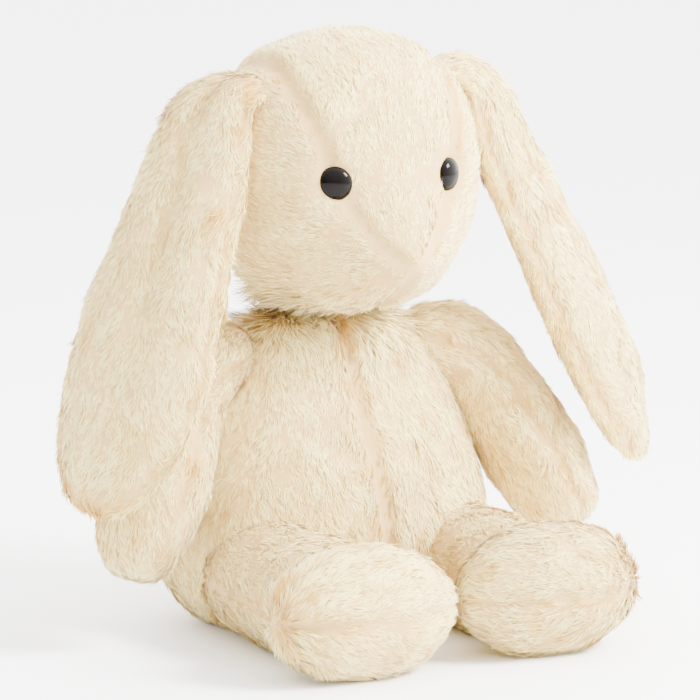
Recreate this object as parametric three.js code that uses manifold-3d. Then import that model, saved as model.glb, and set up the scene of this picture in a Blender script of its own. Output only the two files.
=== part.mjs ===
// A seated plush rabbit with long hanging ears, as its cut and sewn pieces: pile cloth panels round
// stuffing, safety eyes with their washers, a gathered neck thread and a pellet bag in the seat.
// Millimetres, +Z up, the toy faces -Y and its right side is at -X. The origin is the middle of the
// flat seat. All sizes are those of the cloth backing, so the pile stands out beyond them.

import * as THREE from 'three';
import { mergeVertices } from 'three/addons/utils/BufferGeometryUtils.js';
import Module from 'manifold-3d';

const wasm = await Module();
wasm.setup();

// Cloth and clearances
const clothThickness = 3.5;    // backing cloth and the packed roots of its pile
const seamGap = 0.3;           // between two panels of one form
const fillingGap = 1.1;        // between a cover and what fills it
const jointGap = 0.6;          // between a limb and the form it is sewn to

// Torso
const torsoHeight = 146;
const torsoWidth = 170;
const torsoDepth = 128;
const seatSink = 9;            // how far the round underside is pressed flat by the floor
const pelletBagHeight = 34;

// Head
const headWidth = 128;
const headDepth = 102;
const headHeight = 126;
const headForward = 19;        // head centre ahead of the seat's centre
const muzzleReach = 21;
const muzzleDrop = 5;          // how far the muzzle also sags below the face
const gussetWidth = 88;        // centre panel between the ears
const neckGap = 4;
const neckForward = 9;
const neckThreadRadius = 13;
const neckThreadThickness = 1.8;
const neckThreadLift = 0.4;    // above the torso's top

// Eyes: 16 mm safety eyes on a ribbed stem, each held by a washer behind the cloth
const eyeDiameter = 16;
const eyeDome = 5.2;
const eyeRim = 0.9;
const eyeSpacing = 61;
const eyeHeight = 0;         // above the head's centre
const eyeStemDiameter = 4;
const eyeStemLength = 9.5;
const washerDiameter = 15;
const washerThickness = 1.2;
const washerGap = 2;             // behind the cloth, which curves back round the washer

// Ears
const earLength = 212;
const earWidth = 72;
const earThickness = 26;
const earSpacing = headWidth * 0.672;         // between the two roots
const earSeamShift = 4;         // how far the edge seams lie towards the ear's outer face
const earTwist = { right: 58, left: 42 };   // degrees from the side-to-side line
const earSplay = { right: 0, left: 0.042 };  // how much further out it hangs, as a share of its drop

// Arms
const armReach = 118;
const armThickness = 48;
const shoulderSpacing = 88;
const shoulderDrop = 20;       // below the torso's top
const shoulderTilt = 38;       // degrees that the swing's axis leans with the torso's side
const armSwing = 45;           // degrees that an arm swings forward

// Legs and feet
const legThickness = 57;
const hipSpacing = 98;
const legReach = 108;          // from the seat's centre to the ankle
const footWidth = 91;          // side to side
const footHeight = 60;
const footDepth = 55;
const footSpacing = 96;

// Tail
const tailDiameter = 40;
const tailHeight = 36;

const cutTolerance = 0.03;     // how far a cut edge may be straightened

const cream = { color: 0xf4e8cf, roughness: 0.95, metalness: 0 };
const lining = { color: 0xf2e2bd, roughness: 0.95, metalness: 0 };
const fibre = { color: 0xfafaf7, roughness: 1, metalness: 0 };
const pellets = { color: 0xd9dde0, roughness: 0.8, metalness: 0 };
const glossBlack = { color: 0x0b0907, roughness: 0.08, metalness: 0 };
const washerWhite = { color: 0xe6e6e2, roughness: 0.5, metalness: 0 };
const threadCream = { color: 0xe8d8b4, roughness: 0.9, metalness: 0 };

const sides = { right: -1, left: 1 };
const rabbit = new THREE.Group();

function addPiece(name, geometry, finish) {
  const mesh = new THREE.Mesh(geometry, new THREE.MeshStandardMaterial(finish));
  mesh.name = name;
  rabbit.add(mesh);
}

// A smooth value along a form: the values stand at equal steps of t from 0 to 1.
function track(values) {
  const curve = new THREE.CatmullRomCurve3(values.map((v) => new THREE.Vector3(v, 0, 0)), false, 'catmullrom');
  return (t) => curve.getPoint(t).x;
}

// How full a form is at t: 1 in the middle and 0 at both ends, rounder for a lower power.
function endRound(t, power) {
  return (1 - Math.abs(2 * t - 1) ** power) ** (1 / power);
}

// A closed skin from point(angle, t), with a pole at each end of t.
function closedSkin(point, around, along) {
  const positions = [...point(0, 0).toArray()];
  for (let i = 1; i < along; i++) {
    const t = (1 - Math.cos((Math.PI * i) / along)) / 2;
    for (let j = 0; j < around; j++) {
      positions.push(...point((2 * Math.PI * j) / around, t).toArray());
    }
  }
  positions.push(...point(0, 1).toArray());
  const last = positions.length / 3 - 1;
  const at = (i, j) => 1 + (i - 1) * around + (j % around);
  const triangles = [];
  for (let j = 0; j < around; j++) {
    triangles.push([0, at(1, j + 1), at(1, j)]);
    triangles.push([last, at(along - 1, j), at(along - 1, j + 1)]);
    for (let i = 1; i < along - 1; i++) {
      triangles.push([at(i, j), at(i, j + 1), at(i + 1, j)]);
      triangles.push([at(i, j + 1), at(i + 1, j + 1), at(i + 1, j)]);
    }
  }
  const geometry = new THREE.BufferGeometry();
  geometry.setAttribute('position', new THREE.Float32BufferAttribute(positions, 3));
  geometry.setIndex(triangles.flat());
  return solid(geometry);
}

// The closed mesh of a geometry as a solid, turned face out if its volume comes out negative.
function solid(geometry) {
  const plain = geometry.clone();
  plain.deleteAttribute('normal');
  plain.deleteAttribute('uv');
  const merged = mergeVertices(plain, 1e-4);
  const points = merged.attributes.position.array;
  const corners = [];
  let volume = 0;
  for (let i = 0; i < merged.index.count; i += 3) {
    const [a, b, c] = merged.index.array.slice(i, i + 3);
    if (a !== b && b !== c && c !== a) {
      corners.push(a, b, c);
      const [p, q, r] = [a, b, c].map((k) => new THREE.Vector3().fromArray(points, 3 * k));
      volume += p.dot(q.cross(r));
    }
  }
  if (volume < 0) corners.reverse();
  const mesh = new wasm.Mesh({
    numProp: 3,
    vertProperties: new Float32Array(points),
    triVerts: new Uint32Array(corners),
  });
  return new wasm.Manifold(mesh);
}

function geometryOf(manifold) {
  const mesh = manifold.getMesh();
  const geometry = new THREE.BufferGeometry();
  geometry.setAttribute('position', new THREE.Float32BufferAttribute(mesh.vertProperties, 3));
  geometry.setIndex(Array.from(mesh.triVerts));
  return geometry;
}

function addSolid(name, manifold, finish) {
  addPiece(name, geometryOf(manifold.simplify(cutTolerance)), finish);
}

// Everything on the far side of a plane, as a box much larger than the toy.
function beyond(point, normal, gap = 0) {
  const reach = 1000;
  const direction = normal.clone().normalize();
  const box = new THREE.BoxGeometry(reach, reach, reach);
  box.applyQuaternion(new THREE.Quaternion().setFromUnitVectors(new THREE.Vector3(0, 0, 1), direction));
  const middle = point.clone().addScaledVector(direction, reach / 2 + gap);
  box.translate(middle.x, middle.y, middle.z);
  return solid(box);
}

// The two halves of a form, either side of a plane, with a seam gap between them.
function planeHalves(manifold, point, normal) {
  const ahead = manifold.intersect(beyond(point, normal, seamGap / 2));
  const behind = manifold.intersect(beyond(point, normal.clone().negate(), seamGap / 2));
  return [ahead, behind];
}

const up = new THREE.Vector3(0, 0, 1);
const origin = new THREE.Vector3();
const aboveFloor = beyond(origin, up);

// A stuffed limb: oval sections along a path, wide along one direction, rounded at both ends.
function limbSkin(limb, grow) {
  const path = new THREE.CatmullRomCurve3(limb.path, false, 'catmullrom');
  const width = track(limb.widths);
  const depth = track(limb.depths);
  const bend = track(limb.bends ?? [0, 0]);
  return (angle, t) => {
    const tangent = path.getTangent(t);
    const across = limb.across.clone().addScaledVector(tangent, -limb.across.dot(tangent)).normalize();
    const through = tangent.clone().cross(across);
    const full = endRound(t, limb.round);
    return path.getPoint(t)
      .addScaledVector(tangent, (2 * t - 1) * grow)
      .addScaledVector(across, (width(t) / 2 + grow) * full * Math.cos(angle))
      .addScaledVector(through, (depth(t) / 2 + grow) * full * Math.sin(angle))
      .addScaledVector(through, bend(t) * full * Math.cos(angle) ** 2);
  };
}

function limbSolid(limb, grow) {
  return closedSkin(limbSkin(limb, grow), limb.around, limb.along);
}

// A limb's cover as its two panels, parted along the limb's own middle surface: the first lies
// on the side that path x across points to.
function limbPanels(limb, cover) {
  const reach = 6;
  const outside = limbSkin(limb, reach);
  const bend = track(limb.bends ?? [0, 0]);
  const path = new THREE.CatmullRomCurve3(limb.path, false, 'catmullrom');
  const ahead = (start) => closedSkin((angle, t) => {
    const tangent = path.getTangent(t);
    const across = limb.across.clone().addScaledVector(tangent, -limb.across.dot(tangent)).normalize();
    const through = tangent.clone().cross(across);
    const point = outside(angle, t);
    const centre = path.getPoint(t).addScaledVector(tangent, (2 * t - 1) * reach);
    const depth = point.clone().sub(centre).dot(through);
    const parting = start + bend(t) * endRound(t, limb.round) * Math.cos(angle) ** 2;
    return point.addScaledVector(through, Math.max(depth, parting) - depth);
  }, limb.around, limb.along);
  const shift = limb.seamShift ?? 0;
  return [cover.intersect(ahead(seamGap / 2 - shift)), cover.subtract(ahead(-seamGap / 2 - shift))];
}

// Cover and filling of a form that is cut off where it meets its neighbours.
function stuffed(form, cutters) {
  const trim = (manifold) => cutters.reduce((rest, cutter) => rest.subtract(cutter), manifold)
    .intersect(aboveFloor);
  const cover = trim(form(0).subtract(form(-clothThickness)));
  const room = form(-clothThickness - fillingGap);
  const filling = cutters.reduce((rest, cutter) => rest.subtract(cutter), room)
    .intersect(beyond(new THREE.Vector3(0, 0, clothThickness + fillingGap), up));
  return { cover, filling };
}

// Torso: a pear, widest near the floor, with a deeper belly in front and a rounder back
const torsoFront = track([0.41, 0.515, 0.45, 0.3, 0.24]);
const torsoBack = track([0.45, 0.485, 0.44, 0.36, 0.3]);
const torsoHalfWidth = track([0.48, 0.5, 0.46, 0.4, 0.36]);
const torsoRound = 3;

function torsoSkin(grow) {
  return (angle, t) => {
    const full = endRound(t, torsoRound);
    const depth = (Math.sin(angle) < 0 ? torsoFront(t) : torsoBack(t)) * torsoDepth + grow;
    const width = torsoHalfWidth(t) * torsoWidth + grow;
    const low = -seatSink - grow;
    const high = torsoHeight + grow;
    return new THREE.Vector3(
      width * full * Math.cos(angle),
      depth * full * Math.sin(angle),
      low + (high - low) * t,
    );
  };
}

const torsoForm = (grow) => closedSkin(torsoSkin(grow), 20, 12);
const torsoRoom = torsoForm(jointGap);

function buildTorso() {
  const shell = torsoForm(0).subtract(torsoForm(-clothThickness));
  const seatTop = new THREE.Vector3(0, 0, clothThickness);
  const sideSeam = new THREE.Vector3(0, -2, 0);
  const [front, back] = planeHalves(shell.intersect(beyond(seatTop, up, seamGap)), sideSeam, new THREE.Vector3(0, -1, 0));
  const [frontLeft, frontRight] = planeHalves(front, origin, new THREE.Vector3(1, 0, 0));
  const [backLeft, backRight] = planeHalves(back, origin, new THREE.Vector3(1, 0, 0));
  addSolid('torso_front_right', frontRight, cream);
  addSolid('torso_front_left', frontLeft, cream);
  addSolid('torso_back_right', backRight, cream);
  addSolid('torso_back_left', backLeft, cream);
  const underSeatTop = beyond(seatTop, up.clone().negate());
  addSolid('seat_base', torsoForm(0).intersect(aboveFloor).intersect(underSeatTop), cream);
  const room = torsoForm(-clothThickness - fillingGap);
  const bagBottom = new THREE.Vector3(0, 0, clothThickness + fillingGap);
  const bagTop = new THREE.Vector3(0, 0, clothThickness + fillingGap + pelletBagHeight);
  const bag = room.intersect(beyond(bagBottom, up)).intersect(beyond(bagTop, up.clone().negate()));
  addSolid('pellet_bag', bag, pellets);
  addSolid('torso_stuffing', room.intersect(beyond(bagTop, up, fillingGap)), fibre);
}

// Head: a rounded block with a low muzzle that reaches forward to the nose tip
const headCentre = new THREE.Vector3(0, -headForward, torsoHeight + neckGap + headHeight / 2);
const headPower = 2.35;
const muzzle = {
  centre: new THREE.Vector3(0, -headForward - headDepth * 0.45, headCentre.z - headHeight * 0.31),
  spread: headHeight * 0.26,
};

function headSkin(grow) {
  const half = new THREE.Vector3(headWidth / 2 + grow, headDepth / 2 + grow, headHeight / 2 + grow);
  return (angle, t) => {
    const tilt = Math.PI * t;
    const way = new THREE.Vector3(
      Math.sin(tilt) * Math.cos(angle),
      Math.sin(tilt) * Math.sin(angle),
      -Math.cos(tilt),
    );
    const size = (Math.abs(way.x) ** headPower + Math.abs(way.y) ** headPower + Math.abs(way.z) ** headPower)
      ** (-1 / headPower);
    const point = way.multiplyScalar(size).multiply(half).add(headCentre);
    const push = Math.exp(-((point.distanceTo(muzzle.centre) / muzzle.spread) ** 2));
    point.y -= muzzleReach * push;
    point.z -= muzzleDrop * push;
    return point;
  };
}

const headForm = (grow) => closedSkin(headSkin(grow), 20, 14);
const headSurface = headForm(0);
const headRoom = headForm(jointGap);

// Where a straight line from inside the head leaves its surface, and the way out of the surface there.
function onHead(x, z) {
  const skin = headSkin(0);
  let best = { far: Infinity };
  for (let i = 0; i <= 120; i++) {
    for (let j = 0; j <= 60; j++) {
      const angle = Math.PI + (Math.PI * i) / 120;
      const t = 0.15 + (0.7 * j) / 60;
      const point = skin(angle, t);
      const far = Math.hypot(point.x - x, point.z - z);
      if (far < best.far) best = { far, point, angle, t };
    }
  }
  const step = 0.01;
  const aroundWay = skin(best.angle + step, best.t).sub(best.point);
  const alongWay = skin(best.angle, best.t + step).sub(best.point);
  const normal = aroundWay.cross(alongWay).normalize();
  if (normal.y > 0) normal.negate();
  return { point: best.point, normal };
}

// The centre panel's outline seen from the front: broad between the ears, then down to the nose tip.
function gussetPrism(grow) {
  const half = gussetWidth / 2 + grow;
  const eyeHalf = eyeSpacing / 2 + grow;
  const noseZ = muzzle.centre.z - 2 - grow;
  const eyeZ = headCentre.z + eyeHeight;
  const topZ = headCentre.z + headHeight;
  const outline = new THREE.Shape();
  outline.moveTo(0, noseZ);
  outline.quadraticCurveTo(eyeHalf * 0.72, (noseZ + eyeZ) / 2 - 4, eyeHalf, eyeZ);
  outline.quadraticCurveTo(half * 0.85, eyeZ + 22, half, headCentre.z + headHeight * 0.4);
  outline.lineTo(half, topZ);
  outline.lineTo(-half, topZ);
  outline.lineTo(-half, headCentre.z + headHeight * 0.4);
  outline.quadraticCurveTo(-half * 0.85, eyeZ + 22, -eyeHalf, eyeZ);
  outline.quadraticCurveTo(-eyeHalf * 0.72, (noseZ + eyeZ) / 2 - 4, 0, noseZ);
  const prism = new THREE.ExtrudeGeometry(outline, { depth: 600, bevelEnabled: false, curveSegments: 6 });
  prism.translate(0, 0, -300);
  prism.rotateX(Math.PI / 2);
  return solid(prism);
}

// A round solid on the eye's own axis: the profile's heights count outward from the cloth.
function eyeTurned(profile, place) {
  const lathe = new THREE.LatheGeometry(profile.map(([r, h]) => new THREE.Vector2(r, h)), 14);
  lathe.applyQuaternion(new THREE.Quaternion().setFromUnitVectors(new THREE.Vector3(0, 1, 0), place.normal));
  lathe.translate(place.point.x, place.point.y, place.point.z);
  return solid(lathe);
}

function buildHead() {
  const shell = headSurface.subtract(headForm(-clothThickness));
  let gusset = shell.intersect(gussetPrism(0));
  const cheeks = shell.subtract(gussetPrism(seamGap));
  let [cheekLeft, cheekRight] = planeHalves(cheeks, origin, new THREE.Vector3(1, 0, 0));
  let filling = headForm(-clothThickness - fillingGap);
  const stemRadius = eyeStemDiameter / 2;
  const rim = eyeDiameter / 2;
  const behindCloth = -clothThickness - washerGap;
  for (const [side, sign] of Object.entries(sides)) {
    const place = onHead((sign * eyeSpacing) / 2, headCentre.z + eyeHeight);
    place.point.addScaledVector(place.normal, seamGap);
    const domeSteps = 5;
    const dome = Array.from({ length: domeSteps + 1 }, (_, i) => {
      const turn = (Math.PI / 2) * (i / domeSteps);
      return [rim * Math.cos(turn), eyeRim + (eyeDome - eyeRim) * Math.sin(turn)];
    });
    dome[domeSteps][0] = 0;
    const eye = [[0, -eyeStemLength], [stemRadius, -eyeStemLength], [stemRadius, 0], [rim, 0], ...dome];
    addSolid(`eye_${side}`, eyeTurned(eye, place), glossBlack);
    const hole = stemRadius + seamGap;
    const passage = eyeTurned([[0, -20], [hole, -20], [hole, 20], [0, 20]], place);
    gusset = gusset.subtract(passage);
    cheekLeft = cheekLeft.subtract(passage);
    cheekRight = cheekRight.subtract(passage);
    const ring = washerDiameter / 2;
    const low = behindCloth - washerThickness;
    const washer = [[hole, low], [ring, low], [ring, behindCloth], [hole, behindCloth], [hole, low]];
    addSolid(`eye_washer_${side}`, eyeTurned(washer, place), washerWhite);
    const pocketDepth = eyeStemLength + fillingGap;
    const pocketRadius = ring + fillingGap;
    const pocket = [[0, -pocketDepth], [pocketRadius, -pocketDepth], [pocketRadius, 4], [0, 4]];
    filling = filling.subtract(eyeTurned(pocket, place));
  }
  addSolid('head_gusset', gusset, cream);
  addSolid('head_cheek_right', cheekRight, cream);
  addSolid('head_cheek_left', cheekLeft, cream);
  addSolid('head_stuffing', filling, fibre);
}

// The strong thread that gathers the neck edge, a ring between the torso's top and the head.
function buildNeck() {
  const half = neckThreadThickness / 2;
  const section = Array.from({ length: 7 }, (_, i) => {
    const turn = (Math.PI * i) / 3;
    return new THREE.Vector2(neckThreadRadius + half * Math.cos(turn), half * Math.sin(turn));
  });
  const ring = new THREE.LatheGeometry(section, 18);
  ring.rotateX(Math.PI / 2);
  ring.translate(0, -neckForward, torsoHeight + neckThreadLift + half);
  addSolid('neck_thread', solid(ring), threadCream);
}

// Ears: flat pads that leave the top of the head sideways and hang down outside the arms
function buildEar(side, sign) {
  const root = new THREE.Vector3((sign * earSpacing) / 2, -headForward - 3, headCentre.z + headHeight * 0.375);
  const hang = [
    [-0.05, 0, -0.03], [0.11, -0.01, -0.06], [0.2, -0.03, -0.25],
    [0.3, -0.06, -0.47], [0.39, -0.09, -0.69], [0.465, -0.11, -0.9],
  ];
  const turn = THREE.MathUtils.degToRad(earTwist[side]);
  const ear = {
    path: hang.map(([out, ahead, rise]) => new THREE.Vector3(sign * (out - earSplay[side] * rise), ahead, rise)
      .multiplyScalar(earLength).add(root)),
    across: new THREE.Vector3(-Math.cos(turn), -sign * Math.sin(turn), 0),
    widths: [0.55, 0.64, 0.8, 0.96, 1.06, 0.98].map((share) => share * earWidth),
    depths: [0.6, 0.8, 0.9, 1, 1, 0.8].map((share) => share * earThickness),
    bends: [0, 0.05, 0.08, 0.14, 0.18, 0.15].map((share) => share * earThickness),
    seamShift: earSeamShift,
    round: 2.8,
    around: 14,
    along: 12,
  };
  const { cover, filling } = stuffed((grow) => limbSolid(ear, grow), [headRoom]);
  const [inner, outer] = limbPanels(ear, cover);
  addSolid(`ear_${side}_outer`, outer, cream);
  addSolid(`ear_${side}_lining`, inner, lining);
  addSolid(`ear_${side}_filling`, filling, fibre);
}

// The torso as the arm meets it at steps of its forward swing, so the root is cut clear of them all.
function swingRooms(shoulder, sign) {
  const steps = 9;
  const lean = THREE.MathUtils.degToRad(shoulderTilt);
  const axis = new THREE.Vector3(-Math.cos(lean), 0, -sign * Math.sin(lean));
  return Array.from({ length: steps + 1 }, (_, i) => {
    const back = THREE.MathUtils.degToRad((-armSwing * i) / steps);
    const turned = new THREE.Matrix4().makeTranslation(shoulder)
      .multiply(new THREE.Matrix4().makeRotationAxis(axis, back))
      .multiply(new THREE.Matrix4().makeTranslation(shoulder.clone().negate()));
    return torsoRoom.transform(turned.elements);
  });
}

// Arms: sewn to the torso's sides, hanging out and forward to a rounded paw
function buildArm(side, sign) {
  const shoulder = new THREE.Vector3((sign * shoulderSpacing) / 2, -5, torsoHeight - shoulderDrop);
  const hang = [[-0.02, 0, 0.05], [0.25, -0.03, -0.07], [0.44, -0.14, -0.39], [0.63, -0.25, -0.76]];
  const arm = {
    path: hang.map(([out, ahead, rise]) => new THREE.Vector3(sign * out, ahead, rise).multiplyScalar(armReach)
      .add(shoulder)),
    across: new THREE.Vector3(0, -sign, 0),
    widths: [0.85, 0.94, 1, 1.12, 1.12].map((share) => share * armThickness),
    depths: [0.8, 0.88, 0.92, 1.02, 1.06].map((share) => share * armThickness),
    round: 3,
    around: 12,
    along: 9,
  };
  const swept = swingRooms(shoulder, sign);
  const { cover, filling } = stuffed((grow) => limbSolid(arm, grow), swept);
  const [inner, outer] = limbPanels(arm, cover);
  addSolid(`arm_${side}_outer`, outer, cream);
  addSolid(`arm_${side}_inner`, inner, cream);
  addSolid(`arm_${side}_stuffing`, filling, fibre);
}

// Legs: straight out in front on the floor, each ending in a pillow foot laid crosswise
function buildLeg(side, sign) {
  const hipX = (sign * hipSpacing) / 2;
  const lift = legThickness / 2 - 1;
  const leg = {
    path: [-12, -45, -78, -legReach - 12].map((y) => new THREE.Vector3(hipX, y, lift)),
    across: new THREE.Vector3(1, 0, 0),
    widths: [1, 1.06, 1.04, 0.98, 0.92].map((share) => share * legThickness),
    depths: [1, 1, 1, 1, 0.96].map((share) => share * legThickness),
    round: 4,
    around: 12,
    along: 7,
  };
  const footY = -legReach - footDepth * 0.25;
  const footX = (sign * footSpacing) / 2;
  const footLift = footHeight / 2 - 1;
  const foot = {
    path: [-0.5, -0.17, 0.17, 0.5].map((share) => new THREE.Vector3(footX + sign * share * footWidth, footY, footLift)),
    across: new THREE.Vector3(0, sign, 0),
    widths: [0.8, 0.98, 1.03, 1, 0.82].map((share) => share * footDepth),
    depths: [0.8, 0.98, 1.03, 1, 0.82].map((share) => share * footHeight),
    round: 2.3,
    around: 14,
    along: 10,
  };
  const shank = stuffed((grow) => limbSolid(leg, grow), [torsoRoom, limbSolid(foot, seamGap)]);
  const [top, bottom] = limbPanels(leg, shank.cover);
  addSolid(`leg_${side}_upper`, top, cream);
  addSolid(`leg_${side}_lower`, bottom, cream);
  addSolid(`leg_${side}_stuffing`, shank.filling, fibre);
  const pillow = stuffed((grow) => limbSolid(foot, grow), []);
  const [instep, sole] = limbPanels(foot, pillow.cover);
  addSolid(`foot_${side}_upper`, instep, cream);
  addSolid(`foot_${side}_sole`, sole, cream);
  addSolid(`foot_${side}_stuffing`, pillow.filling, fibre);
}

function buildTail() {
  const radius = tailDiameter / 2;
  const centreY = torsoBack((tailHeight + seatSink) / (torsoHeight + seatSink)) * torsoDepth + radius * 0.35;
  const ball = (grow) => {
    const size = radius + grow;
    return closedSkin((angle, t) => new THREE.Vector3(
      size * Math.sin(Math.PI * t) * Math.cos(angle),
      centreY + size * Math.sin(Math.PI * t) * Math.sin(angle),
      tailHeight - size * Math.cos(Math.PI * t),
    ), 12, 8);
  };
  const { cover, filling } = stuffed(ball, [torsoRoom]);
  addSolid('tail_cover', cover, cream);
  addSolid('tail_stuffing', filling, fibre);
}

buildTorso();
buildNeck();
buildHead();
for (const [side, sign] of Object.entries(sides)) {
  buildEar(side, sign);
  buildArm(side, sign);
  buildLeg(side, sign);
}
buildTail();

export default rabbit;
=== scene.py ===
import bpy
import math
import numpy as np
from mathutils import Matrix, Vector


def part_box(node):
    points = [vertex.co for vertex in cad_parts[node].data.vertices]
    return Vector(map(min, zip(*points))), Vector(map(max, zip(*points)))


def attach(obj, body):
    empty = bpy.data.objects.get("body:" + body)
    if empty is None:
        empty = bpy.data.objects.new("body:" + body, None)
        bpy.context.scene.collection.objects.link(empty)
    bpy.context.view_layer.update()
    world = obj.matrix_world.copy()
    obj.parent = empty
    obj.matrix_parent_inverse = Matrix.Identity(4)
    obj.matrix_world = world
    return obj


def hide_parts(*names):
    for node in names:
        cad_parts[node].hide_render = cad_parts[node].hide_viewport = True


# A seated plush rabbit: each sewn form is a cloth skin worked out as a surface of angle and t,
# and its pile is thousands of narrow combed tufts rooted in that skin.
# Shapes are worked out in millimetres and written to the meshes in metres.

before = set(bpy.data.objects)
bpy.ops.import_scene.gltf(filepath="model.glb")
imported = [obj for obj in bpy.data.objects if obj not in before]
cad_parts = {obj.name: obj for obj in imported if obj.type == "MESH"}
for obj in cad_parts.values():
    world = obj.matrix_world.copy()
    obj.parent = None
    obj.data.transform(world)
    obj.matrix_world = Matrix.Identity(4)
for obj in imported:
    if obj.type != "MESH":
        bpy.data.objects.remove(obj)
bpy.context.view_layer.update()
metre = 0.001
full = 2 * np.pi
clothDepth = 3.9  # a hollow stays shallower than this, so that the filling is covered
floorGap = dict(cloth=0.15, pile=0.25)  # nothing comes nearer to the floor
print("frame loaded")


def middle(node):
    # the middle of a node's box, in millimetres
    low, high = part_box(node)
    return (np.array(low) + np.array(high)) / 2 / metre


class Socket:
    # a node's output, or a number, with the operators that shader maths needs
    def __init__(self, tree, link):
        self.tree, self.link = tree, link

    def maths(self, operation, one, two):
        links = {0: getattr(one, "link", one), 1: getattr(two, "link", two)}
        return self.tree.add("ShaderNodeMath", {"operation": operation}, links)

    def __add__(self, other):
        return self.maths("ADD", self, other)

    def __radd__(self, other):
        return self.maths("ADD", other, self)

    def __sub__(self, other):
        return self.maths("SUBTRACT", self, other)

    def __rsub__(self, other):
        return self.maths("SUBTRACT", other, self)

    def __mul__(self, other):
        return self.maths("MULTIPLY", self, other)

    def __rmul__(self, other):
        return self.maths("MULTIPLY", other, self)


class Finish:
    # a material and its node tree; add() makes any node
    def __init__(self, name, **constants):
        self.material = bpy.data.materials.new(name)
        self.material.use_nodes = True
        self.tree = self.material.node_tree
        self.shader = self.tree.nodes["Principled BSDF"]
        for socket, value in constants.items():
            self.shader.inputs[socket.replace("_", " ")].default_value = value

    def add(self, kind, settings=None, inputs=None, output=0):
        node = self.tree.nodes.new(kind)
        for key, value in (settings or {}).items():
            if key == "stops":
                self.fillRamp(node.color_ramp, value)
            else:
                setattr(node, key, value)
        for key, value in (inputs or {}).items():
            value = getattr(value, "link", value)
            if isinstance(value, bpy.types.NodeSocket):
                self.tree.links.new(value, node.inputs[key])
            else:
                node.inputs[key].default_value = value
        return Socket(self, node.outputs[output])

    def fillRamp(self, ramp, stops):
        while len(ramp.elements) > 1:
            ramp.elements.remove(ramp.elements[-1])
        ramp.elements[0].position, ramp.elements[0].color = stops[0]
        for place, colour in stops[1:]:
            ramp.elements.new(place).color = colour

    def feed(self, socket, value):
        # joins a value to one of the shader's own sockets
        self.tree.links.new(value.link, self.shader.inputs[socket])

    def mixColour(self, factor, one, two, blend="MIX"):
        settings = {"data_type": "RGBA", "blend_type": blend}
        return self.add("ShaderNodeMix", settings, {0: factor, 6: one, 7: two}, 2)


def colour(red, green, blue):
    # a screen colour of 0 to 255 as the linear colour that nodes take
    share = np.array([red, green, blue]) / 255
    linear = np.where(share <= 0.04045, share / 12.92, ((share + 0.055) / 1.055) ** 2.4)
    return (*linear.tolist(), 1.0)


def track(values, t):
    # Catmull-Rom curve through values that stand at equal steps of t from 0 to 1
    knots = np.asarray(values, float).reshape(len(values), -1)
    knots = np.vstack([2 * knots[0] - knots[1], knots, 2 * knots[-1] - knots[-2]])
    place = np.clip(t, 0, 1) * (len(knots) - 3)
    start = np.minimum(place.astype(int), len(knots) - 4)
    rest = (place - start)[..., None]
    a, b, c, d = (knots[start + step] for step in range(4))
    bend = (2 * a - 5 * b + 4 * c - d) + rest * (3 * (b - c) + d - a)
    return b + 0.5 * rest * ((c - a) + rest * bend)


def unit(vectors):
    # each vector divided by its own length
    return vectors / np.maximum(np.linalg.norm(vectors, axis=-1, keepdims=True), 1e-9)


def endRound(t, power):
    # how full a form is at t: 1 in the middle, 0 at both ends
    return np.maximum(1 - np.abs(2 * t - 1) ** power, 0) ** (1 / power)


def bump(distance, reach):
    # a soft hill of height 1 that fades over reach
    return np.exp(-(distance / reach) ** 2)


def ripples(points, wave, seed):
    # smooth noise from -1 to 1: sines along random directions, about one wavelength per wave mm
    rng = np.random.default_rng(seed)
    total = np.zeros(points.shape[:-1])
    for _ in range(6):
        way = unit(rng.normal(size=3)) * full / wave * rng.uniform(0.6, 1.6)
        total += np.sin(points @ way + rng.uniform(0, full))
    return total / 3.2


def segmentDistance(points, start, end):
    # distance of each point from the straight line between two ends
    start, end = np.array(start, float), np.array(end, float)
    way = end - start
    share = np.clip(((points - start) @ way) / (way @ way), 0, 1)
    return np.linalg.norm(points - start - share[..., None] * way, axis=-1)


def settle(dent):
    # small hollows stay as they are, and deep ones level out at clothDepth
    return np.where(dent > 0, clothDepth * np.tanh(dent / clothDepth), dent)


def meshPiece(name, vertices, faces, material, smooth=True):
    # a new object at the origin, from points in millimetres
    mesh = bpy.data.meshes.new(name)
    mesh.from_pydata((vertices * metre).tolist(), [], faces)
    mesh.polygons.foreach_set("use_smooth", np.full(len(mesh.polygons), smooth))
    mesh.materials.append(material)
    mesh.update()
    piece = bpy.data.objects.new(name, mesh)
    bpy.context.scene.collection.objects.link(piece)
    return piece


def closedGrid(skin, around, along):
    # rings of points at cosine steps of t, closed by one point at each pole
    t = (1 - np.cos(np.pi * np.arange(1, along) / along)) / 2
    angle = full * np.arange(around) / around
    angles, ts = np.meshgrid(angle, t)
    rings = skin(angles, ts).reshape(-1, 3)
    poles = skin(np.zeros(2), np.array([0.0, 1.0]))
    points = np.vstack([poles[:1], rings, poles[1:]])
    ring, spoke = np.meshgrid(np.arange(along - 2), np.arange(around), indexing="ij")
    after = (spoke + 1) % around

    def at(row, column):
        return 1 + row * around + column

    quads = np.stack([at(ring, spoke), at(ring, after), at(ring + 1, after), at(ring + 1, spoke)], -1)
    spokes = np.arange(around)
    nextSpokes = (spokes + 1) % around
    first = np.stack([np.zeros(around, int), nextSpokes + 1, spokes + 1], -1)
    last = len(points) - 1
    top = np.stack([np.full(around, last), at(along - 2, spokes), at(along - 2, nextSpokes)], -1)
    faces = quads.reshape(-1, 4).tolist() + first.tolist() + top.tolist()
    return points, faces


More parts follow.
